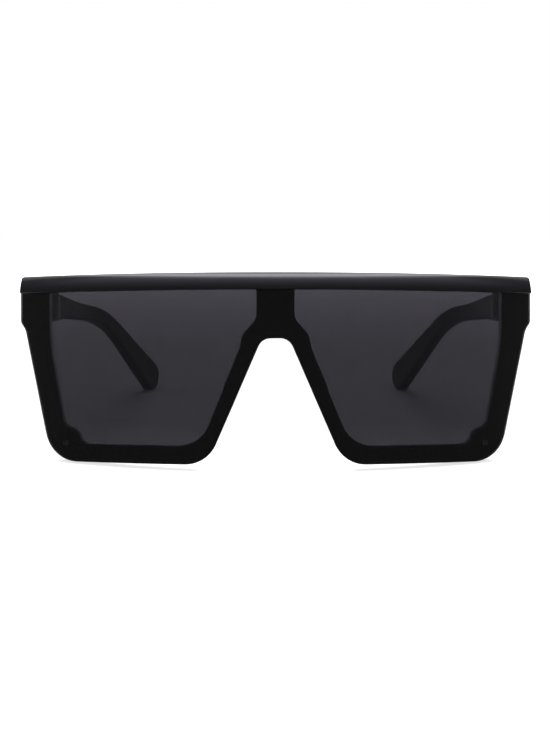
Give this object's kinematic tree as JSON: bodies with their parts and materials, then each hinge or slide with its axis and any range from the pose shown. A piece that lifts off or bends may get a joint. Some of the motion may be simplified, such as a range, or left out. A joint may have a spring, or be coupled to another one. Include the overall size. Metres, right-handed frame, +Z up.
{
  "type": "sunglasses",
  "caption": "Flat top shield sunglasses with a curved dark lens, proud straight brow bar, nose pads and folding temples on screw hinges.",
  "frame": {"origin": "middle of the footprint on the surface that the open glasses stand on", "axes": "+Z up, the front faces -Y, the temples run to +Y, +X to the wearer's left"},
  "size_m": [0.1496, 0.1543, 0.0551],
  "materials": {
    "lens": "dark grey tinted sheet, polished",
    "bar_plastic": "black, polished",
    "frame_plastic": "black, polished",
    "temple_plastic": "black, polished",
    "pad_plastic": "black, satin",
    "nylon": "black nylon",
    "core_metal": "drawn wire",
    "hinge_metal": "nickel silver, brushed",
    "dark_screw": "blackened steel",
    "screw_metal": "turned steel"
  },
  "bodies": {
    "front": {"brow_bar": "bar_plastic", "brow_bar_screws": "screw_metal", "front_leaf_screws_left": "screw_metal", "front_leaf_screws_right": "screw_metal", "hinge_front_leaf_left": "hinge_metal", "hinge_front_leaf_right": "hinge_metal", "hinge_screw_left": "hinge_metal", "hinge_screw_right": "hinge_metal", "lens_nut_left": "screw_metal", "lens_nut_right": "screw_metal", "lens_screw_left": "dark_screw", "lens_screw_right": "dark_screw", "lens_sleeve_left": "nylon", "lens_sleeve_right": "nylon", "nose_pad_left": "pad_plastic", "nose_pad_right": "pad_plastic", "rim_frame": "frame_plastic", "shield_lens": "lens"},
    "temple_left": {"temple_left": "temple_plastic", "temple_core_left": "core_metal", "hinge_temple_leaf_left": "hinge_metal", "temple_leaf_screws_left": "screw_metal"},
    "temple_right": {"temple_right": "temple_plastic", "temple_core_right": "core_metal", "hinge_temple_leaf_right": "hinge_metal", "temple_leaf_screws_right": "screw_metal"}
  },
  "joints": [
    {"name": "temple_left_fold", "type": "hinge", "parent": "front", "child": "temple_left", "pos_m": [0.06655, -0.04311, 0.04327], "axis": [0, 0.1262, 0.992], "range_deg": [0, 86]},
    {"name": "temple_right_fold", "type": "hinge", "parent": "front", "child": "temple_right", "pos_m": [-0.06655, -0.04311, 0.04327], "axis": [0, -0.1262, -0.992], "range_deg": [0, 78]}
  ]
}
